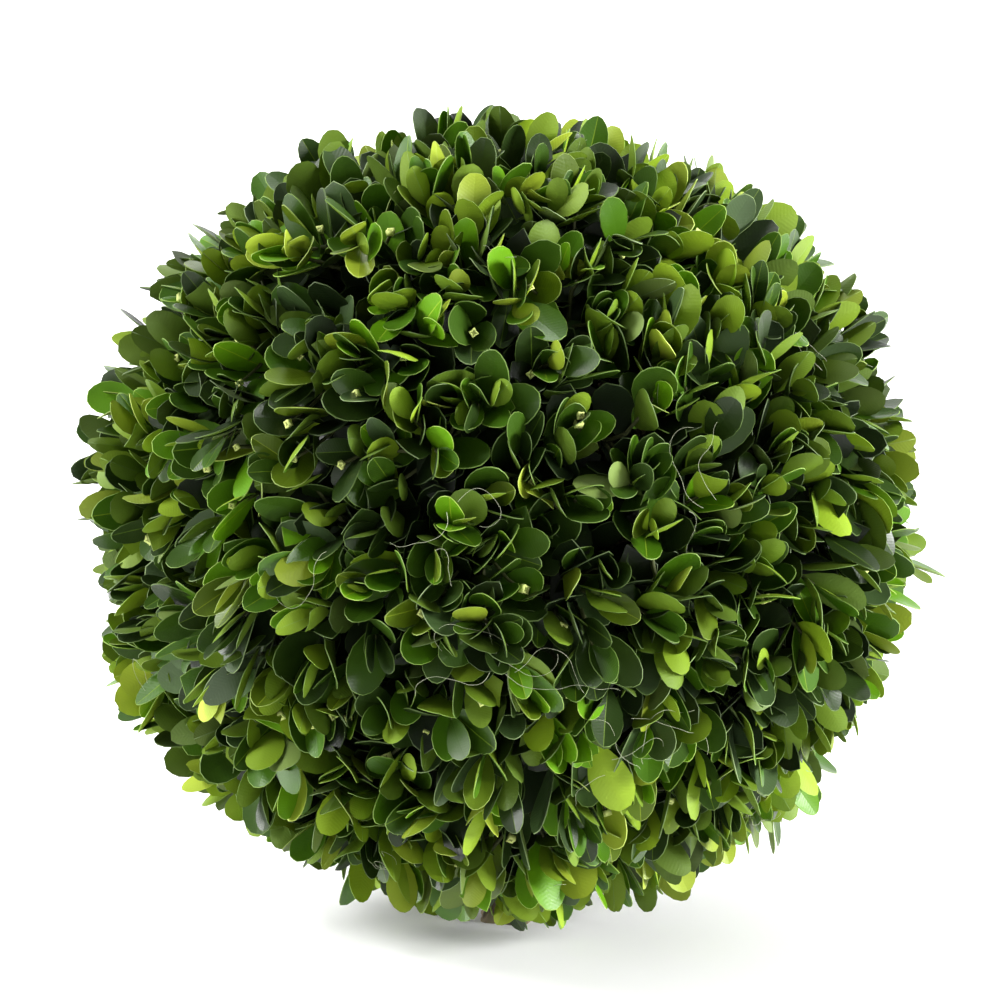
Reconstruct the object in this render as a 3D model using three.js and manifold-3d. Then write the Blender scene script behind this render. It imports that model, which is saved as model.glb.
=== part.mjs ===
// A clipped box ball: a topiary sphere of small evergreen leaves about 25 cm across, rooted by the
// short woody stem that is hidden inside it. Units are millimetres, +Z is up, and the origin is the
// middle of the stem's flat cut at ground level. The front of the plant faces -Y.

import * as THREE from "three";
import { mergeVertices } from "three/addons/utils/BufferGeometryUtils.js";
import Module from "manifold-3d";

// ---- Driving dimensions ----

const BALL = {
  halfWide: 124.5, // clipped surface to centre along the ball's long axis
  halfDeep: 122, // the same from front to back
  halfTall: 119.5, // the same along the ball's short axis
  tilt: 16, // degrees by which the long axis dips towards +X
  offset: [-2, 1], // x and y of the ball's centre from the foot of the stem
  clearance: 1, // lowest leaf tips above the ground
  detail: 17, // subdivisions of the icosahedron that carries the surface
};

// Sprigs stand up from the clipped surface as tufts, each a rounded cone.
const TUFTS = {
  count: 330,
  nudge: 0.05, // most that a tuft is moved from its even place, as a share of the ball's radius
  reach: [11, 16], // least and greatest radius of a tuft's foot along the surface
  height: [2.2, 7.2], // lowest and tallest ordinary tuft
  dip: 2.4, // how far the surface sinks between tufts
};

// Tufts that were missed by the shears, by longitude from +X towards +Y and by latitude, in degrees.
const STRAYS = [
  { longitude: 180, latitude: -17, height: 8.5 },
  { longitude: 0, latitude: 9, height: 8.5 },
  { longitude: 180, latitude: 48, height: 8.5 },
  { longitude: 180, latitude: 69, height: 10.5 },
  { longitude: 0, latitude: -34, height: 13 },
  { longitude: 330, latitude: -66, height: 10 },
  { longitude: 95, latitude: 20, height: 9 },
  { longitude: 60, latitude: -30, height: 8.5 },
];

// Shallow swellings and hollows of the whole ball, each fading out over its spread in degrees.
const SWELLINGS = [
  { longitude: 0, latitude: 61, height: 2.4, spread: 18 },
  { longitude: 180, latitude: -46, height: 2.6, spread: 20 },
  { longitude: 180, latitude: 62, height: -3.4, spread: 16 },
  { longitude: 0, latitude: -80, height: -4.6, spread: 16 },
  { longitude: 60, latitude: 12, height: 2.6, spread: 32 },
  { longitude: 250, latitude: 20, height: 2.2, spread: 40 },
  { longitude: 120, latitude: -35, height: -2.2, spread: 26 },
];

const STEM = {
  baseRadius: 6.6, // what the radius would be at the ground without the flare
  forkRadius: 4.8, // where the boughs part, inside the foliage
  forkHeight: 74,
  flare: 2.8, // how much the flare adds to the radius at the flat cut
  flareHeight: 5, // height over which most of the flare dies away
  lobes: 5, // root buttresses round the flare
  lobeDepth: 1.1, // how far a buttress stands out at the cut
  lobeHeight: 10, // height over which most of a buttress dies away
  lean: [5, 3], // x and y of the fork from the foot
  sides: 30,
  rings: 14,
  ringCrowding: 1.6, // above 1 the rings stand closer together near the ground
};

const GAP = 0.3; // air between the stem and the foliage that is cut round it
const SOCKET_DEPTH = 5; // how far below the ground that cut starts, so that it opens underneath

const SEED = 20417;

// ---- Helpers ----

// A small repeatable source of numbers from 0 to 1 (the mulberry32 generator).
function seededRandom(seed) {
  let state = seed >>> 0;
  return () => {
    state = (state + 0x6d2b79f5) >>> 0;
    let mixed = Math.imul(state ^ (state >>> 15), 1 | state);
    mixed = (mixed + Math.imul(mixed ^ (mixed >>> 7), 61 | mixed)) ^ mixed;
    return ((mixed ^ (mixed >>> 14)) >>> 0) / 2 ** 32;
  };
}

function directionOf({ longitude, latitude }) {
  const lon = THREE.MathUtils.degToRad(longitude);
  const lat = THREE.MathUtils.degToRad(latitude);
  return new THREE.Vector3(
    Math.cos(lat) * Math.cos(lon),
    Math.cos(lat) * Math.sin(lon),
    Math.sin(lat),
  );
}

// Keeps only positions, with shared vertices merged, so that the mesh is one closed surface.
function closedSurface(geometry) {
  geometry.deleteAttribute("normal");
  geometry.deleteAttribute("uv");
  return mergeVertices(geometry, 1e-3);
}

function moveVertices(geometry, move) {
  const positions = geometry.attributes.position;
  const point = new THREE.Vector3();
  for (let i = 0; i < positions.count; i++) {
    move(point.fromBufferAttribute(positions, i));
    positions.setXYZ(i, point.x, point.y, point.z);
  }
  return geometry;
}

const wasm = await Module();
wasm.setup();

function toSolid(geometry) {
  const closed = closedSurface(geometry);
  return new wasm.Manifold(
    new wasm.Mesh({
      numProp: 3,
      vertProperties: new Float32Array(closed.attributes.position.array),
      triVerts: new Uint32Array(closed.index.array),
    }),
  );
}

function toGeometry(solid) {
  const mesh = solid.getMesh();
  const geometry = new THREE.BufferGeometry();
  geometry.setAttribute("position", new THREE.BufferAttribute(mesh.vertProperties, mesh.numProp));
  geometry.setIndex(new THREE.BufferAttribute(mesh.triVerts, 1));
  geometry.computeVertexNormals();
  return geometry;
}

// ---- Stem ----

// The stem as a lathed taper with its flare, given its root buttresses and its lean. Made wider by a
// gap and carried on below the ground by a depth, it is the socket that is cut out of the foliage.
function stemGeometry({ gap = 0, depth = 0 } = {}) {
  const top = STEM.forkHeight + gap;
  const profile = [new THREE.Vector2(0, -depth)];
  for (let ring = 0; ring <= STEM.rings; ring++) {
    const share = (ring / STEM.rings) ** STEM.ringCrowding;
    const z = THREE.MathUtils.lerp(-depth, top, share);
    const taper = THREE.MathUtils.lerp(STEM.baseRadius, STEM.forkRadius, Math.max(z, 0) / top);
    const flare = STEM.flare * Math.exp(-Math.max(z, 0) / STEM.flareHeight);
    profile.push(new THREE.Vector2(taper + flare + gap, z));
  }
  profile.push(new THREE.Vector2(0, top));
  const lathe = new THREE.LatheGeometry(profile, STEM.sides).rotateX(Math.PI / 2);
  return moveVertices(lathe, (p) => {
    const radius = Math.hypot(p.x, p.y);
    if (radius > 0) {
      const fade = Math.exp(-Math.max(p.z, 0) / STEM.lobeHeight);
      const lobe = STEM.lobeDepth * fade * Math.cos(STEM.lobes * Math.atan2(p.y, p.x));
      p.x *= 1 + lobe / radius;
      p.y *= 1 + lobe / radius;
    }
    const rise = THREE.MathUtils.smoothstep(p.z, 0, STEM.forkHeight);
    p.x += STEM.lean[0] * rise;
    p.y += STEM.lean[1] * rise;
  });
}

// ---- Foliage ----

// Tufts spread evenly over the ball by the golden angle, each nudged and given its own size.
function sproutTufts() {
  const random = seededRandom(SEED);
  const between = ([low, high]) => THREE.MathUtils.lerp(low, high, random());
  const golden = Math.PI * (3 - Math.sqrt(5));
  const tufts = [];
  for (let i = 0; i < TUFTS.count; i++) {
    const up = 1 - (2 * (i + 0.5)) / TUFTS.count;
    const across = Math.sqrt(1 - up * up);
    const nudge = [-TUFTS.nudge, TUFTS.nudge];
    const towards = new THREE.Vector3(
      across * Math.cos(i * golden) + between(nudge),
      across * Math.sin(i * golden) + between(nudge),
      up + between(nudge),
    ).normalize();
    tufts.push({ towards, height: between(TUFTS.height), reach: between(TUFTS.reach) });
  }
  for (const stray of STRAYS) {
    tufts.push({ towards: directionOf(stray), height: stray.height, reach: TUFTS.reach[1] });
  }
  return tufts;
}

// Distance from the ball's centre to its surface in a direction given in the ball's own axes.
function surfaceRadius(towards, tufts) {
  const ellipsoid =
    1 / Math.hypot(towards.x / BALL.halfWide, towards.y / BALL.halfDeep, towards.z / BALL.halfTall);
  let swell = 0;
  for (const swelling of SWELLINGS) {
    const angle = THREE.MathUtils.radToDeg(towards.angleTo(directionOf(swelling)));
    swell += swelling.height * Math.exp(-((angle / swelling.spread) ** 2));
  }
  let rise = 0;
  for (const tuft of tufts) {
    const nearness = 1 - (towards.angleTo(tuft.towards) * ellipsoid) / tuft.reach;
    const crest = (tuft.height + TUFTS.dip) * THREE.MathUtils.smoothstep(nearness, 0, 1);
    rise = Math.max(rise, crest);
  }
  return ellipsoid + swell + rise - TUFTS.dip;
}

// Stands the ball with its lowest tips just clear of the ground all round the foot of the stem.
// What hangs lower than that is over the foot, where the socket cuts it away, and is drawn level.
function standOnGround(ball) {
  const footRadius = STEM.baseRadius + STEM.flare - STEM.lobeDepth;
  let lowest = Infinity;
  moveVertices(ball, (p) => {
    if (Math.hypot(p.x, p.y) > footRadius) {
      lowest = Math.min(lowest, p.z);
    }
  });
  ball.translate(0, 0, BALL.clearance - lowest);
  return moveVertices(ball, (p) => {
    p.z = Math.max(p.z, BALL.clearance);
  });
}

// The clipped ball as one uneven surface.
function foliageGeometry() {
  const tufts = sproutTufts();
  const ball = closedSurface(new THREE.IcosahedronGeometry(1, BALL.detail));
  moveVertices(ball, (p) => {
    const towards = p.clone().normalize();
    p.copy(towards).multiplyScalar(surfaceRadius(towards, tufts));
  });
  ball.rotateY(THREE.MathUtils.degToRad(BALL.tilt)).translate(...BALL.offset, 0);
  return standOnGround(ball);
}

// ---- Assembly ----

const bark = new THREE.MeshStandardMaterial({ color: 0x6b5b45, roughness: 0.9, metalness: 0 });
const leaf = new THREE.MeshStandardMaterial({ color: 0x3d5a22, roughness: 0.5, metalness: 0 });

const boxBall = new THREE.Group();

const stem = new THREE.Mesh(closedSurface(stemGeometry()), bark);
stem.geometry.computeVertexNormals();
stem.name = "stem";
boxBall.add(stem);

const socket = toSolid(stemGeometry({ gap: GAP, depth: SOCKET_DEPTH }));
const clippedBall = new THREE.Mesh(toGeometry(toSolid(foliageGeometry()).subtract(socket)), leaf);
clippedBall.name = "clipped_ball";
boxBall.add(clippedBall);

export default boxBall;
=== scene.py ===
import math

import bmesh
import bpy
import numpy as np
from mathutils import Matrix, Vector, noise
from mathutils.bvhtree import BVHTree


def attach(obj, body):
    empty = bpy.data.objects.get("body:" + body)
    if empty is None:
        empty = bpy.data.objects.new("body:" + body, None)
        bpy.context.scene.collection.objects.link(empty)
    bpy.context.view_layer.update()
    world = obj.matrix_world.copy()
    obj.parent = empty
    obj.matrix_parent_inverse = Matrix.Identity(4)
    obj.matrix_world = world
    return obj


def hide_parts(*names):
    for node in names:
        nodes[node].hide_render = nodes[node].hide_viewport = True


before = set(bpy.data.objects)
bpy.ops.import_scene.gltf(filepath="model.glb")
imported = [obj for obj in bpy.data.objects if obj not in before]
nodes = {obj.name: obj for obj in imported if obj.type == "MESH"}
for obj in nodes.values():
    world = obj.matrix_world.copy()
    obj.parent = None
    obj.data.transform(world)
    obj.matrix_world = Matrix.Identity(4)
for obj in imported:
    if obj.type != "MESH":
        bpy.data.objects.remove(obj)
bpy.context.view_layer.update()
scene = bpy.context.scene
mm = 0.001
driftSeed = 3
noise.seed_set(driftSeed)  # without this the slow drifts would differ from run to run


def linear(red, green, blue):
    # colour given as 0-255 values, turned into the linear values that the shader wants
    shares = [c / 255 for c in (red, green, blue)]
    return tuple(c / 12.92 if c <= 0.04045 else ((c + 0.055) / 1.055) ** 2.4 for c in shares) + (1.0,)


def newObject(name, mesh):
    obj = bpy.data.objects.new(name, mesh)
    scene.collection.objects.link(obj)
    return obj


def newMaterial(name, colour, roughness, **sockets):
    material = bpy.data.materials.new(name)
    material.use_nodes = True
    shader = material.node_tree.nodes["Principled BSDF"]
    shader.inputs["Base Color"].default_value = colour
    shader.inputs["Roughness"].default_value = roughness
    for socket, value in sockets.items():
        shader.inputs[socket.replace("_", " ")].default_value = value
    return material


def evenDirections(count, jitter, rng):
    # points spread evenly over a sphere by the golden angle, each nudged a little
    step = np.arange(count)
    up = 1 - 2 * (step + 0.5) / count
    turn = step * math.pi * (3 - math.sqrt(5))
    across = np.sqrt(1 - up * up)
    points = np.stack([across * np.cos(turn), across * np.sin(turn), up], 1)
    points += rng.normal(0, jitter * math.sqrt(4 * math.pi / count), points.shape)
    return points / np.linalg.norm(points, axis=1, keepdims=True)


def drift(point, scale, seed):
    # slow random vector that changes from place to place
    return np.array(noise.noise_vector(Vector(point) * scale + Vector((seed, seed, seed))))


def unit(vector):
    return vector / np.linalg.norm(vector)


ballNode = nodes["clipped_ball"]
ballCorners = np.array([v.co for v in ballNode.data.vertices])
ballCentre = (ballCorners.min(0) + ballCorners.max(0)) / 2
ballTree = BVHTree.FromObject(ballNode, bpy.context.evaluated_depsgraph_get())
outside = 0.3  # further from the middle of the ball than any tip


def reachTowards(direction):
    # distance from the middle of the ball to its clipped surface
    far = ballCentre + direction * outside
    hit = ballTree.ray_cast(Vector(far), Vector(-direction))[0]
    return (hit - Vector(ballCentre)).length


def clippedReach(direction, spread=0.07, blend=0.5, places=5):
    # the surface there, partly evened out with the surface round about
    side = unit(np.cross(direction, (0.31, 0.53, 0.79)))  # square to it, whichever way that is
    other = np.cross(direction, side)
    around = [unit(direction + spread * (side * math.cos(a) + other * math.sin(a)))
              for a in np.linspace(0, 2 * math.pi, places, endpoint=False)]
    evened = np.mean([reachTowards(d) for d in around])
    return blend * evened + (1 - blend) * reachTowards(direction)


# a few closed leaf shapes that all the foliage is made from
leafShape = {
    "length": 19.2 * mm,
    "thickness": 0.22 * mm,
    "rim": 0.13 * mm,  # how far the upper face stops short of the edge
    "tipBow": 0.105,  # how far the middle of the tip row leads its ends
    "notchSpread": 0.35,  # how wide a notch in the tip is, as a share of the half width
    "waves": (7, 2),  # ripples of the edge along the leaf and across it
    "widest": 0.62,  # the place along the leaf that the rim slopes towards
    "mapMiddles": (0.17, 0.51, 0.85),  # where the upper side, underside and rim lie on the map
    "mapSize": (0.55, 0.88),
    "mapStart": 0.06,
    # outer leaves, then plainer ones for deep inside: columns across, place and half width of each row
    "grids": [
        {"columns": [-1, -0.5, -0.03, 0.03, 0.5, 1],
         "rows": [(0.0, 0.09), (0.2, 0.56), (0.44, 0.91), (0.67, 0.995), (0.866, 0.866), (1.0, 0.64)]},
        {"columns": [-1, 0, 1],
         "rows": [(0.0, 0.09), (0.25, 0.64), (0.58, 1.0), (0.86, 0.87), (1.0, 0.60)]},
    ],
    # width is half the width over the length, rib a midrib that shows, clip a straight cut
    "kinds": [
        {"width": 0.248, "belly": 0.05, "notch": 0.00, "cup": 0.14, "bend": 0.25, "twist": 0.05,
         "fold": 0.05, "wave": 0.02, "rib": False},
        {"width": 0.238, "belly": 0.20, "notch": 0.02, "cup": 0.18, "bend": 0.50, "twist": -0.10,
         "fold": 0.03, "wave": 0.03, "rib": False},
        {"width": 0.280, "belly": 0.10, "notch": 0.02, "cup": 0.08, "bend": -0.25, "twist": 0.12,
         "fold": 0.05, "wave": 0.04, "rib": False},
        {"width": 0.216, "belly": 0.00, "notch": 0.00, "cup": 0.10, "bend": 0.10, "twist": -0.20,
         "fold": 0.10, "wave": 0.02, "rib": True},
        {"width": 0.262, "belly": 0.24, "notch": 0.03, "cup": 0.22, "bend": 0.35, "twist": 0.00,
         "fold": 0.00, "wave": 0.02, "rib": False},
        {"width": 0.240, "belly": -0.05, "notch": 0.00, "cup": -0.08, "bend": -0.45, "twist": 0.15,
         "fold": 0.06, "wave": 0.05, "rib": False},
        {"width": 0.286, "belly": 0.15, "notch": 0.02, "cup": 0.14, "bend": 0.55, "twist": 0.10,
         "fold": 0.02, "wave": 0.03, "rib": False},
        {"width": 0.230, "belly": 0.05, "notch": 0.00, "cup": 0.05, "bend": -0.15, "twist": 0.35,
         "fold": 0.07, "wave": 0.04, "rib": True},
        {"width": 0.256, "belly": 0.00, "notch": 0.00, "cup": 0.12, "bend": 0.15, "twist": -0.08,
         "fold": 0.14, "wave": 0.02, "rib": True},
        {"width": 0.252, "belly": 0.10, "notch": 0.00, "cup": 0.10, "bend": 0.15, "twist": 0.10,
         "fold": 0.05, "wave": 0.02, "rib": False, "clip": (0.72, 0.35)},
    ],
    "kindShares": [0.15, 0.12, 0.13, 0.10, 0.09, 0.09, 0.09, 0.09, 0.09, 0.05],
}


def buildLeaf(kind, grid, shape):
    # flat grid drawn into the leaf's outline, thickened, then cupped, bent and twisted
    length, halfWidth = shape["length"], kind["width"] * shape["length"]
    across, steps = len(grid["columns"]) - 1, len(grid["rows"]) - 1
    bm = bmesh.new()
    bmesh.ops.create_grid(bm, x_segments=across, y_segments=steps, size=1)
    uvLayer = bm.loops.layers.uv.new("OFBake")
    for v in bm.verts:
        u = grid["columns"][round((v.co.x + 1) / 2 * across)]
        t, width = grid["rows"][round((v.co.y + 1) / 2 * steps)]
        tip = t ** 3
        t += kind["belly"] * t * (1 - t)
        along = t * (1 - shape["tipBow"]) + shape["tipBow"] * (1 - u * u) * tip
        along -= kind["notch"] * math.exp(-((u / shape["notchSpread"]) ** 2)) * tip
        v.co = (width * u * halfWidth, along * length, 0)
    if "clip" in kind:  # cut straight across by the shears
        place, slant = kind["clip"]
        bmesh.ops.bisect_plane(bm, geom=bm.verts[:] + bm.edges[:] + bm.faces[:], clear_outer=True,
                               plane_co=(0, place * length, 0), plane_no=(slant, 1, 0))
    bmesh.ops.solidify(bm, geom=bm.faces[:], thickness=shape["thickness"])
    bm.normal_update()
    for f in bm.faces:
        upright = f.normal.z
        f.material_index = 0 if upright > 0.5 else (1 if upright < -0.5 else 2)
        f.smooth = True
    upper = {v for f in bm.faces if f.material_index == 0 for v in f.verts}
    edge = {v for f in bm.faces if f.material_index == 2 for v in f.verts}
    for f in bm.faces:  # the midrib is paler than the side that it is on
        onRib = across > 2 and abs(f.calc_center_median().x) < 1e-5
        if onRib and f.material_index < 2 and kind["rib"]:
            f.material_index += 1
    mapWide, mapTall = shape["mapSize"]
    for f in bm.faces:
        for loop in f.loops:
            x, y = loop.vert.co.x / length, loop.vert.co.y / length
            place = shape["mapMiddles"][f.material_index]
            loop[uvLayer].uv = (place + x * mapWide, shape["mapStart"] + y * mapTall)
    for v in upper & edge:  # slope the rim so that it shows round the upper side
        pull = Vector((-v.co.x, shape["widest"] * length - v.co.y, 0)).normalized()
        v.co += pull * shape["rim"]
    for e in bm.edges:
        e.smooth = len({f.material_index for f in e.link_faces}) == 1
    wavesAlong, wavesAcross = shape["waves"]
    for v in bm.verts:
        x, y, z = v.co
        t, u = y / length, x / halfWidth
        z += halfWidth * (kind["cup"] * u * u + kind["fold"] * abs(u))
        z += halfWidth * kind["wave"] * math.sin(wavesAlong * t + wavesAcross * u) * abs(u)
        turn = kind["twist"] * t
        x, z = x * math.cos(turn) - z * math.sin(turn), x * math.sin(turn) + z * math.cos(turn)
        bend = kind["bend"]
        radius = length / bend
        y, z = (radius - z) * math.sin(bend * t), radius - (radius - z) * math.cos(bend * t)
        v.co = (x, y, z)
    mesh = bpy.data.meshes.new("leafPattern")
    bm.to_mesh(mesh)
    bm.free()
    return mesh


def readPattern(mesh):
    # everything that a joined mesh needs from a pattern, as plain arrays, and its upper faces
    def grab(items, field, width=1, kind=np.int32):
        values = np.empty(len(items) * width, kind)
        items.foreach_get(field, values)
        return values.reshape(-1, width) if width > 1 else values
    sharp = mesh.attributes.get("sharp_edge")
    data = {
        "points": grab(mesh.vertices, "co", 3, np.float32),
        "edges": grab(mesh.edges, "vertices", 2),
        "sharp": grab(sharp.data, "value", 1, bool) if sharp else np.zeros(len(mesh.edges), bool),
        "corners": grab(mesh.loops, "vertex_index"),
        "cornerEdges": grab(mesh.loops, "edge_index"),
        "starts": grab(mesh.polygons, "loop_start"),
        "slots": grab(mesh.polygons, "material_index"),
        "uvs": grab(mesh.uv_layers["OFBake"].data, "uv", 2, np.float32),
    }
    bpy.data.meshes.remove(mesh)
    data["upper"] = [data["corners"][start:end].tolist() for start, end, slot in zip(
        data["starts"], [*data["starts"][1:], len(data["corners"])], data["slots"]) if slot == 0]
    return data


def joinCopies(name, patterns, placings):
    # placings: (pattern number, 3x3 turn and scale, place), joined into one mesh
    fields = ("points", "edges", "sharp", "corners", "cornerEdges", "starts", "slots", "uvs")
    kept = {field: [] for field in fields}
    offsets = np.zeros(3, np.int64)
    for number, turn, place in placings:
        p = patterns[number]
        kept["points"].append(p["points"] @ turn.T + place)
        kept["edges"].append(p["edges"] + offsets[0])
        kept["corners"].append(p["corners"] + offsets[0])
        kept["cornerEdges"].append(p["cornerEdges"] + offsets[1])
        kept["starts"].append(p["starts"] + offsets[2])
        for field in ("sharp", "slots", "uvs"):
            kept[field].append(p[field])
        offsets += (len(p["points"]), len(p["edges"]), len(p["corners"]))
    arrays = {field: np.concatenate(parts) for field, parts in kept.items()}
    mesh = bpy.data.meshes.new(name)
    mesh.vertices.add(len(arrays["points"]))
    mesh.edges.add(len(arrays["edges"]))
    mesh.loops.add(len(arrays["corners"]))
    mesh.polygons.add(len(arrays["starts"]))
    mesh.vertices.foreach_set("co", arrays["points"].astype(np.float32).ravel())
    mesh.edges.foreach_set("vertices", arrays["edges"].astype(np.int32).ravel())
    mesh.loops.foreach_set("vertex_index", arrays["corners"].astype(np.int32))
    mesh.loops.foreach_set("edge_index", arrays["cornerEdges"].astype(np.int32))
    mesh.polygons.foreach_set("loop_start", arrays["starts"].astype(np.int32))
    mesh.polygons.foreach_set("material_index", arrays["slots"].astype(np.int32))
    mesh.attributes.new("sharp_edge", "BOOLEAN", "EDGE").data.foreach_set("value", arrays["sharp"])
    mesh.uv_layers.new(name="OFBake").data.foreach_set("uv", arrays["uvs"].astype(np.float32).ravel())
    mesh.update()
    mesh.validate()
    return newObject(name, mesh)


patterns = [readPattern(buildLeaf(kind, grid, leafShape))
            for grid in leafShape["grids"] for kind in leafShape["kinds"]]
print("leaf shapes:", len(patterns), "of", len(patterns[0]["starts"]), "faces, or",
      len(patterns[-1]["starts"]), "for the plain ones")


# where each shoot stands and which leaves it carries
sprigPlan = {
    "count": 930,
    "seed": 411,
    "jitter": 0.26,
    "tipDepth": 12.8 * mm,  # shoot tip under the clipped surface
    "hollows": 8.5 * mm,  # how much deeper some patches of shoots end
    "hollowSize": 4.5,  # higher for smaller patches
    "hollowStart": 0.08,  # higher for fewer patches
    "hollowSlope": 2.4,
    "depthSpread": 2.0 * mm,
    "lean": 1.05,  # slow drift of the shoots from straight out
    "leanDrift": (1.6, 3.1),  # scale and seed of that drift
    "straggle": 0.33,  # extra lean of each shoot by itself
    "shade": 1.1,  # slow drift from dark to bright shoots
    "shadeDrift": (2.4, 7.7),
    "shadeSpread": 0.45,  # from shoot to shoot
    "leafShadeSpread": 0.7,  # from leaf to leaf
    "outwards": 1.1,  # how much a leaning leaf turns its upper side outwards
    "inwards": 0.34,  # and how much an upright one turns it to the shoot
    "aroundSpread": 0.28,  # radians that a leaf may be out of its place round the shoot
    "rollSpread": 0.34,  # and turned about its own length
    "rolledFrom": 1.6,  # least roll of a leaf that shows its other side
    "nodeSpread": 1.8,  # millimetres that the leaves of a pair may stand apart along the shoot
    "cutShare": 0.20,  # shoots cut under their top pair of leaves
    "strays": [180, 353, 116, 96, 309, 35, 222],  # degrees round the ball, seen from the front
    "strayDepth": 12 * mm,
    "strayBehind": 0.15,  # how far behind the outline they stand
    "straySearch": (60, 0.05),  # spots tried for each, and how far round they lie
    "footRings": [(10, 15 * mm), (15, 26 * mm), (18, 38 * mm)],  # count and distance round the foot
    "floorGap": 0.4 * mm,
    "stemRoom": (9.5 * mm, 76 * mm),  # distance from the stem that stays clear, and up to what height
    # millimetres below the shoot tip, angle from the shoot in degrees, size, share rolled over to show
    # the other side, grid, how much its tint is darkened as painted shade of the deeper layers (partly
    # the real dim green of shade leaves), and how many places are tried to keep clear of other leaves
    "pairs": [
        {"depth": 0.0, "angle": (4, 19), "size": (0.62, 0.98), "rolled": 0.25,
         "grid": 0, "paintedShadeDarkening": 0.0, "tries": 12},
        {"depth": 4.0, "angle": (10, 29), "size": (0.76, 1.14), "rolled": 0.17,
         "grid": 0, "paintedShadeDarkening": 0.1, "tries": 10},
        {"depth": 8.5, "angle": (18, 42), "size": (0.82, 1.20), "rolled": 0.06,
         "grid": 0, "paintedShadeDarkening": 0.5, "tries": 7},
        {"depth": 14.0, "angle": (28, 54), "size": (0.90, 1.15), "rolled": 0.0,
         "grid": 1, "paintedShadeDarkening": 1.4, "tries": 2},
        {"depth": 22.0, "angle": (44, 78), "size": (0.98, 1.22), "rolled": 0.0,
         "grid": 1, "paintedShadeDarkening": 2.4, "tries": 2},
    ],
}

# colours of the upper side, underside and rim, and the share of the leaves that have them
# the inner tint is near black: painted shade of the leaves deep inside, partly their real dim green
innerPaintedShadeTint = {"name": "leaves_inner_green_painted_shade", "share": 0.16,
             "upper": (16, 28, 7), "under": (48, 64, 12), "rim": (54, 72, 28)}
tints = [  # from dark to bright, then the one for deep inside
    {"name": "leaves_deep_green", "share": 0.22,
     "upper": (30, 48, 9), "under": (74, 98, 16), "rim": (76, 98, 42)},
    {"name": "leaves_dark_green", "share": 0.22,
     "upper": (42, 68, 7), "under": (90, 116, 16), "rim": (92, 118, 48)},
    {"name": "leaves_grey_green", "share": 0.06,
     "upper": (54, 74, 38), "under": (96, 116, 50), "rim": (110, 130, 82)},
    {"name": "leaves_mid_green", "share": 0.21,
     "upper": (56, 92, 6), "under": (106, 132, 18), "rim": (106, 134, 52)},
    {"name": "leaves_olive_green", "share": 0.09,
     "upper": (72, 92, 10), "under": (116, 134, 22), "rim": (116, 136, 56)},
    {"name": "leaves_fresh_green", "share": 0.15,
     "upper": (84, 130, 8), "under": (130, 158, 26), "rim": (128, 158, 58)},
    {"name": "leaves_yellow_green", "share": 0.05,
     "upper": (140, 158, 44), "under": (162, 182, 50), "rim": (166, 184, 84)},
    innerPaintedShadeTint,
]

rng = np.random.default_rng(sprigPlan["seed"])


def strayDirections(plan):
    # the highest spot of the clipped surface near each place where a shoot sticks out
    count, spread = plan["straySearch"]
    for turn in np.radians(plan["strays"]):
        middle = np.array([math.cos(turn), plan["strayBehind"], math.sin(turn)])
        yield max((unit(middle + rng.normal(0, spread, 3)) for spot in range(count)), key=reachTowards)


def footDirections(plan):
    # rings of extra sprigs that hang round the foot of the stem
    for count, radius in plan["footRings"]:
        for turn in np.linspace(0, 2 * math.pi, count, endpoint=False):
            yield unit(np.array([math.cos(turn) * radius, math.sin(turn) * radius, 0]) - ballCentre)


def planSprig(direction, reach, depth, plan, stray=False):
    flow = drift(direction, *plan["leanDrift"]) * plan["lean"] + rng.normal(0, plan["straggle"], 3)
    axis = unit(direction + flow - direction * np.dot(flow, direction))
    side = unit(np.cross(axis, rng.normal(0, 1, 3)))
    return {
        "direction": direction, "axis": axis, "side": side, "other": np.cross(axis, side),
        "tip": ballCentre + direction * (reach - depth * np.dot(axis, direction)),
        "turn": rng.uniform(0, 2 * math.pi),
        "cut": not stray and rng.random() < plan["cutShare"],
        "stray": stray,
        "shade": (drift(direction, *plan["shadeDrift"])[0] * plan["shade"]
                  + rng.normal(0, plan["shadeSpread"])),
    }


def planSprigs(plan):
    sprigs = []
    for direction in [*evenDirections(plan["count"], plan["jitter"], rng), *footDirections(plan)]:
        patch = float(noise.noise(Vector(direction) * plan["hollowSize"]))
        hollow = max(0.0, patch - plan["hollowStart"]) * plan["hollowSlope"]
        depth = plan["tipDepth"] + plan["hollows"] * min(1.0, hollow)
        depth += rng.normal(0, plan["depthSpread"])
        sprigs.append(planSprig(direction, clippedReach(direction), depth, plan))
    for direction in strayDirections(plan):
        sprigs.append(planSprig(direction, reachTowards(direction), plan["strayDepth"], plan, stray=True))
    return sprigs


def leafTry(sprig, pair, level, half, size, rolled, draw, plan):
    # one way of setting a leaf: pairs stand opposite, each a quarter turn from the pair above
    axis = sprig["axis"]
    around = sprig["turn"] + level * math.pi / 2 + half * math.pi + draw.normal(0, plan["aroundSpread"])
    away = math.radians(draw.uniform(*pair["angle"]))
    out = sprig["side"] * math.cos(around) + sprig["other"] * math.sin(around)
    along = axis * math.cos(away) + out * math.sin(away)
    inward = axis * math.sin(away) - out * math.cos(away)
    outward = sprig["direction"] - along * np.dot(sprig["direction"], along)
    facing = unit(outward * plan["outwards"] + inward * plan["inwards"])
    roll = draw.normal(0, plan["rollSpread"])
    if rolled:
        roll += draw.choice((-1, 1)) * draw.uniform(plan["rolledFrom"], math.pi)
    facing = facing * math.cos(roll) + np.cross(along, facing) * math.sin(roll)
    base = sprig["tip"] - axis * (pair["depth"] + draw.uniform(0, plan["nodeSpread"])) * mm
    return np.stack([np.cross(along, facing), along, facing], 1) * size, base


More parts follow.
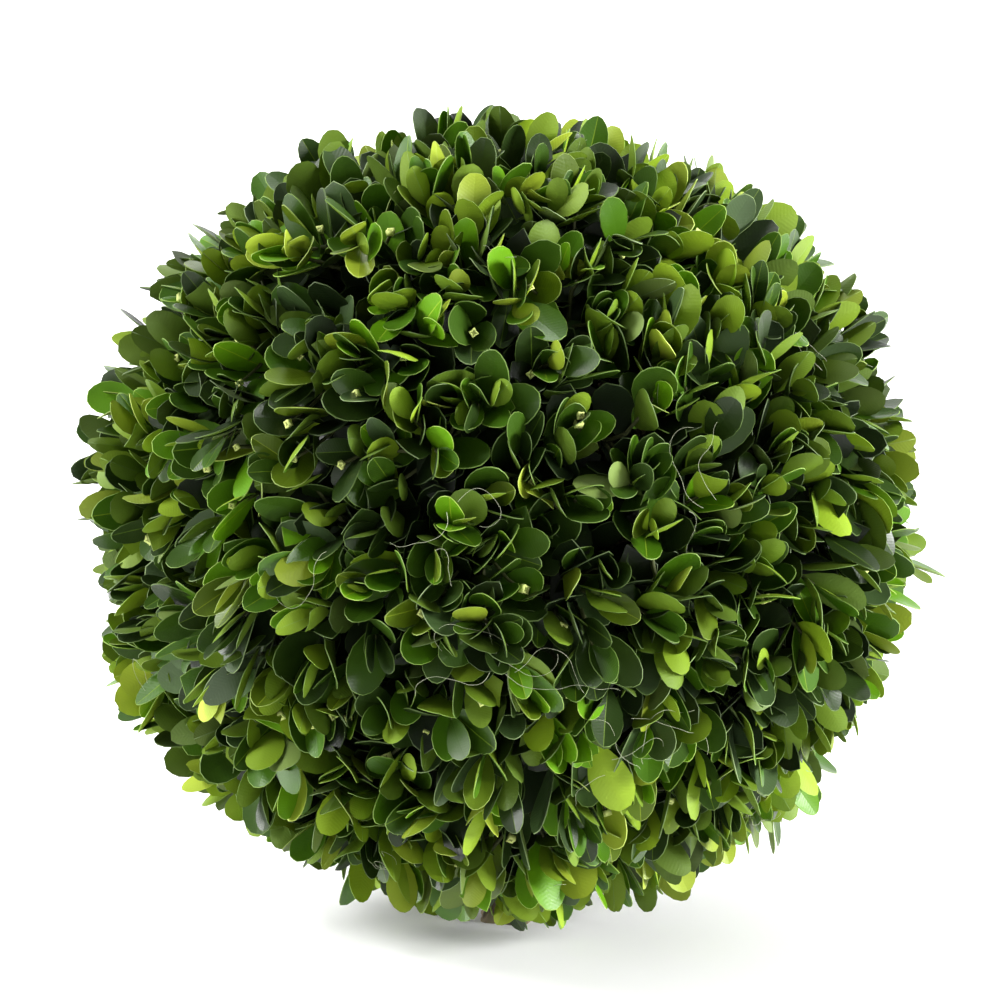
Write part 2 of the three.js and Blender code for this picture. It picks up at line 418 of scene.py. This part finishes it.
def tintFor(shade, inside):
    # shades follow a bell curve, and each tint takes its share of it from the dark end up
    value = 0.5 * (1 + math.erf(shade / math.sqrt(2)))
    # the lowest shades deep inside take the near-black inner tint, which is painted shade
    if inside and value < innerPaintedShadeTint["share"]:
        return len(tints) - 1
    ends = np.cumsum([t["share"] for t in tints[:-1]])
    return min(int(np.searchsorted(ends, value * ends[-1])), len(tints) - 2)


class LeafRoom:
    # which leaves stand where, in cubic cells, so that a new one can be set where it cuts the fewest
    def __init__(self, cell):
        self.cell, self.cells = cell, {}

    def key(self, point):
        return tuple(np.floor(point / self.cell).astype(int))

    def clashes(self, points, faces):
        tree = BVHTree.FromPolygons(points.tolist(), faces)
        x, y, z = self.key(points.mean(0))
        near = (other for i in (-1, 0, 1) for j in (-1, 0, 1) for k in (-1, 0, 1)
                for other in self.cells.get((x + i, y + j, z + k), ()))
        low, high = points.min(0), points.max(0)
        count = 0
        for otherLow, otherHigh, other in near:
            if (otherLow < high).all() and (otherHigh > low).all() and tree.overlap(other):
                count += 1
        return count, (low, high, tree)

    def add(self, points, entry):
        self.cells.setdefault(self.key(points.mean(0)), []).append(entry)


sprigs = planSprigs(sprigPlan)
room = LeafRoom(leafShape["length"])
leafPlacings = [[] for tint in tints]
stemDistance, stemTop = sprigPlan["stemRoom"]
crossing = 0
for level, pair in enumerate(sprigPlan["pairs"]):
    for index, half in ((index, half) for index in range(len(sprigs)) for half in (0, 1)):
        sprig = sprigs[index]
        if (sprig["cut"] and level == 0) or (sprig["stray"] and (level > 1 or half)):
            continue
        draw = np.random.default_rng((sprigPlan["seed"], level, index, half))  # its own for each leaf
        number = draw.choice(len(leafShape["kinds"]), p=leafShape["kindShares"])
        number += pair["grid"] * len(leafShape["kinds"])
        size = draw.uniform(*pair["size"])
        # deeper pairs are darkened: painted shade of the inside, partly the real dim green of shade
        # leaves
        shade = sprig["shade"] + draw.normal(0, sprigPlan["leafShadeSpread"]) - pair["paintedShadeDarkening"]
        rolled = draw.random() < pair["rolled"]
        best = None
        for attempt in range(pair["tries"]):
            turned, base = leafTry(sprig, pair, level, half, size, rolled, draw, sprigPlan)
            probe = patterns[number]["points"] @ turned.T + base
            lift = np.array([0, 0, max(0.0, sprigPlan["floorGap"] - probe[:, 2].min())])
            clashes, entry = room.clashes(probe + lift, patterns[number]["upper"])
            if best is None or clashes < best[0]:
                best = (clashes, turned, base + lift, probe + lift, entry)
            if clashes == 0:
                break
        clashes, turned, base, probe, entry = best
        if math.hypot(base[0], base[1]) > stemDistance or base[2] > stemTop:
            room.add(probe, entry)
            crossing += clashes > 0
            leafPlacings[tintFor(shade, pair["grid"] == 1)].append((number, turned, base))
print("sprigs:", len(sprigs), "leaves:", sum(len(p) for p in leafPlacings),
      "that cross one set before them:", crossing)


leafFinish = {
    "upperRoughness": 0.38,
    "underRoughness": 0.60,
    "rimRoughness": 0.60,
    "gloss": 0.38,
    "veinHeight": 0.018 * mm,
    "veinsPerLength": 21,
    "veinSlope": 0.9,
    "veinStrength": {"upper": 0.3, "under": 0.45},
    "ribWidth": 0.012,  # half width of the midrib on the map
    "ribDepth": 2.2,  # against the side veins
    "grainHeight": 0.06 * mm,
    "grainScale": 1300,
}


def addGrain(material, height, scale, strength=0.6):
    # a fine uneven skin, returned so that more relief can stand on it
    tree = material.node_tree
    where = tree.nodes.new("ShaderNodeTexCoord")
    grain = tree.nodes.new("ShaderNodeTexNoise")
    grain.inputs["Scale"].default_value = scale
    grain.inputs["Detail"].default_value = 2
    skin = tree.nodes.new("ShaderNodeBump")
    skin.inputs["Distance"].default_value = height
    skin.inputs["Strength"].default_value = strength
    tree.links.new(where.outputs["Object"], grain.inputs["Vector"])
    tree.links.new(grain.outputs["Fac"], skin.inputs["Height"])
    tree.links.new(skin.outputs["Normal"], tree.nodes["Principled BSDF"].inputs["Normal"])
    return skin


def addVeins(material, middle, strength, finish):
    # side veins slanting from the midrib at the middle of that part of the map, over a leathery grain
    skin = addGrain(material, finish["grainHeight"], finish["grainScale"])
    tree = material.node_tree

    def mathNode(operation, second=None):
        node = tree.nodes.new("ShaderNodeMath")
        node.operation = operation
        if second is not None:
            node.inputs[1].default_value = second
        return node

    place = tree.nodes.new("ShaderNodeUVMap")
    place.uv_map = "OFBake"
    parts = tree.nodes.new("ShaderNodeSeparateXYZ")
    aside = mathNode("SUBTRACT", middle)
    away = mathNode("ABSOLUTE")
    slant = mathNode("MULTIPLY_ADD", -finish["veinSlope"])
    waves = mathNode("MULTIPLY", finish["veinsPerLength"] * 2 * math.pi)
    ripple = mathNode("SINE")
    rib = tree.nodes.new("ShaderNodeMapRange")
    rib.inputs["From Max"].default_value = finish["ribWidth"]
    rib.inputs["To Min"].default_value = -finish["ribDepth"]
    rib.inputs["To Max"].default_value = 0
    both = mathNode("ADD")
    veins = tree.nodes.new("ShaderNodeBump")
    veins.inputs["Distance"].default_value = finish["veinHeight"]
    veins.inputs["Strength"].default_value = strength
    for start, end in (
        (place.outputs["UV"], parts.inputs[0]),
        (parts.outputs["X"], aside.inputs[0]),
        (aside.outputs[0], away.inputs[0]),
        (away.outputs[0], slant.inputs[0]),
        (parts.outputs["Y"], slant.inputs[2]),
        (slant.outputs[0], waves.inputs[0]),
        (waves.outputs[0], ripple.inputs[0]),
        (away.outputs[0], rib.inputs["Value"]),
        (ripple.outputs[0], both.inputs[0]),
        (rib.outputs["Result"], both.inputs[1]),
        (both.outputs[0], veins.inputs["Height"]),
        (skin.outputs["Normal"], veins.inputs["Normal"]),
        (veins.outputs["Normal"], tree.nodes["Principled BSDF"].inputs["Normal"]),
    ):
        tree.links.new(start, end)


def leafMaterials(tint, finish):
    upper, under, rim = (
        newMaterial(tint["name"] + "_" + side, linear(*tint[side]), finish[side + "Roughness"],
                    Specular_IOR_Level=finish["gloss"])  # the socket that sets how glossy it is
        for side in ("upper", "under", "rim"))
    for side, material, middle in zip(("upper", "under"), (upper, under), leafShape["mapMiddles"]):
        addVeins(material, middle, finish["veinStrength"][side], finish)
    addGrain(rim, finish["grainHeight"], finish["grainScale"])
    return upper, under, rim


pieceLimit = 190000  # triangles that one piece of leaves may have


def shareOut(placings):
    # the leaves of one tint, in the fewest pieces that stay under the limit
    triangles = 2 * sum(len(patterns[number]["starts"]) for number, turned, base in placings)
    count = math.ceil(triangles / pieceLimit)
    return [placings[first::count] for first in range(count)]


for tint, placings in zip(tints, leafPlacings):
    materials = leafMaterials(tint, leafFinish)
    for count, share in enumerate(shareOut(placings)):
        name = f"{tint['name']}_{count + 1}" if count else tint["name"]
        piece = joinCopies(name, patterns, share)
        for material in materials:
            piece.data.materials.append(material)
        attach(piece, "root")
        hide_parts("clipped_ball")
        print(piece.name, len(share), "leaves,", len(piece.data.polygons) * 2, "triangles")


# stem, boughs and twigs inside the foliage
limbPlan = {
    "fork": (5 * mm, 3 * mm, 72 * mm),  # just inside the top of the stem
    "levels": [  # how many, how far out as a share of the reach, millimetres of radius at both ends
        {"count": 9, "reach": 0.40, "radii": (2.9, 2.1)},
        {"count": 36, "reach": 0.62, "radii": (1.9, 1.4)},
        {"count": 140, "reach": 0.77, "radii": (1.25, 0.9)},
    ],
    "jitter": 0.16,
    "headingPull": 0.6,  # how much a limb sets off towards its end
    "shootRadii": (0.8, 0.55),
    "cutStand": 4.5 * mm,  # how far a cut shoot stands above its top leaves
    "stepsEach": 5,
    "wander": 0.16,  # how far a limb strays from its course, as a share of its length
}

barkLook = {
    "colour": (112, 98, 76),
    "cracks": (58, 48, 36),
    "moss": (104, 108, 70),
    # the shoots' own olive, darkened further as painted shade of the hollows that they stand in
    "shoots": (62, 68, 30),
    "ridgeHeight": 0.45 * mm,
    "ridgesRound": 9,
    "ridgeSink": 0.6,  # share of a ridge that lies under the solid's surface
    "bends": (3, 60),  # amount and scale of the slow bends in the ridges
    "breaks": (2.5, 90),  # of the quicker breaks in them
    "lumps": (0.5, 500),  # and of the small lumps on them
    "divisions": 2,  # how often the stem's faces are halved before the ridges
    "flatFoot": 0.2 * mm,  # height over the ground that stays without ridges
    "roughness": 0.88,
    "bands": (0.36, 0.55, 0.72),  # where the cracks end, the bark is plain and the moss is full
    "stemScale": 420,
    "boughScale": 700,
    "stretch": 0.35,  # below 1 for marks that run along the stem
    "grainHeight": 0.3 * mm,
    "grainStrength": 0.7,
    "shootRoughness": 0.75,
    "shootGrain": (0.1 * mm, 900),
}


def courseOf(start, heading, end, arriving, plan):
    # a limb's smooth course, leaving along its parent and arriving straight outwards
    span = np.linalg.norm(end - start)
    bulge = rng.normal(0, plan["wander"] / 2, 3) * span
    points = []
    for t in np.linspace(0, 1, plan["stepsEach"]):
        a, b = 2 * t ** 3 - 3 * t ** 2 + 1, t ** 3 - 2 * t ** 2 + t
        c, d = -2 * t ** 3 + 3 * t ** 2, t ** 3 - t ** 2
        points.append(a * start + b * heading * span + c * end + d * arriving * span
                      + bulge * math.sin(math.pi * t) ** 2)
    return points


def growLimbs(plan, sprigs):
    # each level of limbs grows on from the nearest limb of the level before
    fork = np.array(plan["fork"])
    parents = [{"direction": None, "end": fork, "heading": np.array([0, 0, 1.0])}]
    grown = []
    for level in plan["levels"]:
        children, radii = [], np.array(level["radii"]) * mm
        for direction in evenDirections(level["count"], plan["jitter"], rng):
            parent = parents[0] if len(parents) == 1 else max(
                parents, key=lambda p: float(np.dot(p["direction"], direction)))
            end = ballCentre + direction * reachTowards(direction) * level["reach"]
            heading = unit(parent["heading"] + plan["headingPull"] * direction)
            course = courseOf(parent["end"], heading, end, direction, plan)
            grown.append((course, radii))
            children.append({"direction": direction, "end": end, "heading": direction})
        parents = children
    shoots = []
    for sprig in sprigs:
        parent = max(parents, key=lambda p: float(np.dot(p["direction"], sprig["direction"])))
        top = sprig["tip"] + sprig["axis"] * (plan["cutStand"] if sprig["cut"] else 0)
        course = courseOf(parent["end"], parent["heading"], top, sprig["axis"], plan)
        shoots.append((course, np.array(plan["shootRadii"]) * mm))
    return grown, shoots


def buildTubes(name, courses, roundness):
    # tapering tubes along the courses, drawn as one bevelled curve and made a mesh
    curve = bpy.data.curves.new(name, "CURVE")
    curve.dimensions = "3D"
    curve.bevel_depth = 1
    curve.bevel_resolution = roundness
    curve.use_fill_caps = True
    for course, radii in courses:
        spline = curve.splines.new("POLY")
        spline.points.add(len(course) - 1)
        for point, place, radius in zip(spline.points, course, np.linspace(*radii, len(course))):
            point.co = (*place, 1)
            point.radius = radius
    drawn = bpy.data.objects.new(name, curve)
    scene.collection.objects.link(drawn)
    mesh = bpy.data.meshes.new_from_object(drawn.evaluated_get(bpy.context.evaluated_depsgraph_get()))
    bpy.data.objects.remove(drawn)
    bpy.data.curves.remove(curve)
    mesh.name = name
    for polygon in mesh.polygons:
        polygon.use_smooth = True
    return newObject(name, mesh)


def barkRelief(place, look):
    # how far the long ridges that wind up the stem stand out from the solid there
    bend, bendScale = look["bends"]
    jump, jumpScale = look["breaks"]
    lump, lumpScale = look["lumps"]
    around = math.atan2(place.y, place.x)
    winding = around * look["ridgesRound"] + bend * noise.noise(place * bendScale)
    winding = winding / 2 + jump * noise.noise(Vector((around, 0, place.z * jumpScale)))
    ridge = abs(math.sin(winding)) - look["ridgeSink"]
    return look["ridgeHeight"] * (ridge + lump * noise.noise(place * lumpScale))


def buildStem(look):
    # the solid stem, divided finely and given its bark, with the flat cut at the ground kept flat
    bm = bmesh.new()
    bm.from_mesh(nodes["stem"].data)
    bmesh.ops.remove_doubles(bm, verts=bm.verts[:], dist=1e-5)
    for step in range(look["divisions"]):
        bmesh.ops.subdivide_edges(bm, edges=bm.edges[:], cuts=1, use_grid_fill=True)
    bm.normal_update()
    for v in bm.verts:
        if v.co.z > look["flatFoot"]:
            v.co += v.normal * barkRelief(v.co, look)
    for f in bm.faces:
        f.smooth = f.normal.z > -0.9  # all but the flat cut
    mesh = bpy.data.meshes.new("stem_bark")
    bm.to_mesh(mesh)
    bm.free()
    return newObject("stem_bark", mesh)


def barkMaterial(name, look, scale):
    # cracks, bark and moss from one streaky noise, which also gives the fine relief
    material = newMaterial(name, linear(*look["colour"]), look["roughness"])
    tree = material.node_tree
    shader = tree.nodes["Principled BSDF"]
    where = tree.nodes.new("ShaderNodeTexCoord")
    stretch = tree.nodes.new("ShaderNodeMapping")
    stretch.inputs["Scale"].default_value = (1, 1, look["stretch"])
    grain = tree.nodes.new("ShaderNodeTexNoise")
    grain.inputs["Scale"].default_value = scale
    grain.inputs["Detail"].default_value = 6
    blend = tree.nodes.new("ShaderNodeValToRGB")
    crackEnd, plainBark, fullMoss = look["bands"]
    ramp = blend.color_ramp.elements
    ramp[0].position = crackEnd
    ramp[0].color = linear(*look["cracks"])
    ramp[1].position = plainBark
    ramp[1].color = linear(*look["colour"])
    ramp.new(fullMoss).color = linear(*look["moss"])
    bump = tree.nodes.new("ShaderNodeBump")
    bump.inputs["Distance"].default_value = look["grainHeight"]
    bump.inputs["Strength"].default_value = look["grainStrength"]
    for start, end in (
        (where.outputs["Object"], stretch.inputs["Vector"]),
        (stretch.outputs["Vector"], grain.inputs["Vector"]),
        (grain.outputs["Fac"], blend.inputs["Fac"]),
        (blend.outputs["Color"], shader.inputs["Base Color"]),
        (grain.outputs["Fac"], bump.inputs["Height"]),
        (bump.outputs["Normal"], shader.inputs["Normal"]),
    ):
        tree.links.new(start, end)
    return material


limbs, shoots = growLimbs(limbPlan, sprigs)
stemPiece = buildStem(barkLook)
stemPiece.data.materials.append(barkMaterial("stem_bark", barkLook, barkLook["stemScale"]))
boughPiece = buildTubes("boughs", limbs, roundness=1)
boughPiece.data.materials.append(barkMaterial("bough_bark", barkLook, barkLook["boughScale"]))
shootPiece = buildTubes("shoots", shoots, roundness=0)
# shoot colour: their own olive, darkened further as painted shade
shootSkinWithPaintedShade = newMaterial("shoot_skin_with_painted_shade", linear(*barkLook["shoots"]), barkLook["shootRoughness"])
addGrain(shootSkinWithPaintedShade, *barkLook["shootGrain"])
shootPiece.data.materials.append(shootSkinWithPaintedShade)
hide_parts("stem")
for piece in (boughPiece, shootPiece):
    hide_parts("clipped_ball")
for piece in (stemPiece, boughPiece, shootPiece):
    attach(piece, "root")
    print(piece.name, len(piece.data.polygons), "faces")


# pale ends of the shoots that the shears cut
shootEnd = {
    "radius": 1.35 * mm,
    "waist": 0.62,  # how far the four sides pull in between the lobes
    "height": 1.5 * mm,
    "stand": 4.2 * mm,  # above the place where the leaves start
    "lip": 0.42 * mm,
    "dish": 0.3 * mm,
    "sizes": (0.8, 1.25),
    "colours": {"lobes": (204, 216, 124), "pith": (118, 130, 52)},
    "roughness": 0.65,
    "grain": (0.08 * mm, 1600),
}


def buildShootEnd(shape):
    # four lobes round a sunken middle, on a short neck
    bm = bmesh.new()
    bmesh.ops.create_circle(bm, cap_ends=True, segments=8, radius=shape["radius"])
    for v in bm.verts:
        if round(math.degrees(math.atan2(v.co.y, v.co.x)) / 45) % 2:
            v.co *= shape["waist"]
    made = bmesh.ops.extrude_face_region(bm, geom=bm.faces[:])["geom"]
    raised = [v for v in made if isinstance(v, bmesh.types.BMVert)]
    bmesh.ops.translate(bm, verts=raised, vec=(0, 0, shape["height"]))
    bmesh.ops.recalc_face_normals(bm, faces=bm.faces[:])
    outer = max(bm.faces, key=lambda f: f.calc_center_median().z)
    bmesh.ops.inset_region(bm, faces=[outer], thickness=shape["lip"], depth=-shape["dish"])
    for f in bm.faces:
        f.material_index = int(f == outer)
    bmesh.ops.rotate(bm, verts=bm.verts[:], matrix=Matrix.Rotation(-math.pi / 2, 3, "X"))
    bm.loops.layers.uv.new("OFBake")
    mesh = bpy.data.meshes.new("shootEndPattern")
    bm.to_mesh(mesh)
    bm.free()
    return mesh


endPattern = readPattern(buildShootEnd(shootEnd))
endPlacings = []
for sprig in sprigs:
    if sprig["cut"]:
        side, axis = sprig["side"], sprig["axis"]
        turned = np.stack([np.cross(axis, side), axis, side], 1) * rng.uniform(*shootEnd["sizes"])
        endPlacings.append((0, turned, sprig["tip"] + axis * shootEnd["stand"]))
endPiece = joinCopies("cut_shoot_ends", [endPattern], endPlacings)
for part, colour in shootEnd["colours"].items():
    material = newMaterial("cut_shoot_" + part, linear(*colour), shootEnd["roughness"])
    addGrain(material, *shootEnd["grain"])
    endPiece.data.materials.append(material)
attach(endPiece, "root")
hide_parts("clipped_ball")
print("cut ends:", len(endPlacings))


# fine pale fibres caught among the leaves
fibrePlan = {
    "radius": 0.05 * mm,
    "thinning": 0.7,  # radius at the far end against the start
    "points": 32,
    "length": (12 * mm, 38 * mm),
    "curl": 0.07,  # how fast a fibre may start to turn
    "curlKept": 0.9,  # share of its turning that lasts from one point to the next
    "heights": (-3 * mm, 1 * mm),  # lowest start under the clipped surface, and highest place over it
    "rise": 0.1 * mm,  # how fast it may start to rise or sink
    "riseKept": 0.8,
    "evening": 0.9,  # how far it passes over the small dips of the surface
    "nestSpread": 0.05,
    "jitter": 0.3,
    "colour": (172, 176, 150),
    "roughness": 0.6,
    "grain": (0.03 * mm, 3000),
    "nests": [  # places on the ball, seen from the front, and how many fibres each holds
        {"across": -0.01, "up": -0.20, "count": 5},
        {"across": 0.29, "up": -0.42, "count": 4},
        {"across": 0.45, "up": 0.10, "count": 3},
        {"across": -0.25, "up": -0.72, "count": 2},
        {"across": 0.55, "up": -0.66, "count": 3},
        {"across": -0.12, "up": 0.16, "count": 3},
    ],
    "elsewhere": 16,
}


def growFibre(direction, plan):
    # a thread that curls over the clipped surface
    course, heading = [], unit(np.cross(direction, rng.normal(0, 1, 3)))
    step = rng.uniform(*plan["length"]) / plan["points"]
    lowest, highest = plan["heights"]
    height, rise, curl = rng.uniform(lowest, 0), 0.0, rng.normal(0, plan["curl"])
    for count in range(plan["points"]):
        reach = clippedReach(direction, blend=plan["evening"])
        course.append(ballCentre + direction * (reach + height))
        curl = plan["curlKept"] * curl + rng.normal(0, plan["curl"])
        heading = unit(heading + curl * np.cross(direction, heading))
        direction = unit(direction + heading * step / reach)
        rise = plan["riseKept"] * rise + rng.normal(0, plan["rise"])
        height = min(height + rise, highest)
    return course, (plan["radius"], plan["radius"] * plan["thinning"])


fibres = []
for nest in fibrePlan["nests"]:
    depth = math.sqrt(1 - nest["across"] ** 2 - nest["up"] ** 2)
    for count in range(nest["count"]):
        start = np.array([nest["across"], -depth, nest["up"]]) + rng.normal(0, fibrePlan["nestSpread"], 3)
        fibres.append(growFibre(unit(start), fibrePlan))
for direction in evenDirections(fibrePlan["elsewhere"], fibrePlan["jitter"], rng):
    fibres.append(growFibre(direction, fibrePlan))
fibrePiece = buildTubes("fibres", fibres, roundness=0)
fibreSkin = newMaterial("fibre", linear(*fibrePlan["colour"]), fibrePlan["roughness"])
addGrain(fibreSkin, *fibrePlan["grain"])
fibrePiece.data.materials.append(fibreSkin)
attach(fibrePiece, "root")
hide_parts("clipped_ball")
print("fibres:", len(fibres))


studio = {
    "paper": (244, 244, 244),
    "paperRoughness": 0.95,
    "paperGrain": (0.05 * mm, 600),
    "sweep": [(-4, 0), (1.2, 0), (1.5, 0.03), (1.75, 0.12), (1.92, 0.3), (2, 0.6), (2, 5)],  # y and z
    "sweepWidth": 9,
    "ambient": 0.305,
    "lampAim": (0, 0, 0.12),
    "softboxes": [
        {"name": "key", "place": (-2.8, -0.3, 2.4), "size": 1.3, "watts": 150},
        {"name": "side", "place": (2.85, -0.9, 0.8), "size": 1.3, "watts": 245},
        {"name": "low", "place": (-2.8, -0.4, 0.5), "size": 1.3, "watts": 80},
        {"name": "top", "place": (0.3, 1.2, 3.4), "size": 1.8, "watts": 62},
    ],
    "lens": 116.5,
    "distance": 0.98,
    "elevation": 9,  # degrees that the camera looks down
    "aim": (-3 * mm, 0, 130.4 * mm),
}


def buildSweep(plan):
    # one strip of paper that runs from the floor up the wall in a curve
    bm = bmesh.new()
    line = [bm.verts.new((-plan["sweepWidth"] / 2, y, z)) for y, z in plan["sweep"]]
    edges = [bm.edges.new(pair) for pair in zip(line, line[1:])]
    made = bmesh.ops.extrude_edge_only(bm, edges=edges)["geom"]
    moved = [v for v in made if isinstance(v, bmesh.types.BMVert)]
    bmesh.ops.translate(bm, verts=moved, vec=(plan["sweepWidth"], 0, 0))
    for f in bm.faces:
        f.smooth = True
    mesh = bpy.data.meshes.new("paper_sweep")
    bm.to_mesh(mesh)
    bm.free()
    paper = newMaterial("paper", linear(*plan["paper"]), plan["paperRoughness"])
    addGrain(paper, *plan["paperGrain"])
    mesh.materials.append(paper)
    return newObject("paper_sweep", mesh)


buildSweep(studio)

world = bpy.data.worlds.new("studio")
scene.world = world
world.use_nodes = True
world.node_tree.nodes["Background"].inputs["Color"].default_value = (1, 1, 1, 1)
world.node_tree.nodes["Background"].inputs["Strength"].default_value = studio["ambient"]

lampAim = Vector(studio["lampAim"])
for box in studio["softboxes"]:
    light = bpy.data.lights.new(box["name"], "AREA")
    light.shape, light.size, light.energy = "DISK", box["size"], box["watts"]
    lamp = bpy.data.objects.new(box["name"], light)
    scene.collection.objects.link(lamp)
    lamp.location = box["place"]
    lamp.rotation_euler = (lampAim - lamp.location).to_track_quat("-Z", "Y").to_euler()

lens = bpy.data.cameras.new("camera")
lens.lens = studio["lens"]
camera = bpy.data.objects.new("camera", lens)
scene.collection.objects.link(camera)
tilt = math.radians(studio["elevation"])
aim = Vector(studio["aim"])
back = Vector((0, -math.cos(tilt), math.sin(tilt)))
camera.location = aim + back * studio["distance"]
camera.rotation_euler = (-back).to_track_quat("-Z", "Y").to_euler()
scene.camera = camera
scene.view_settings.view_transform = "Standard"
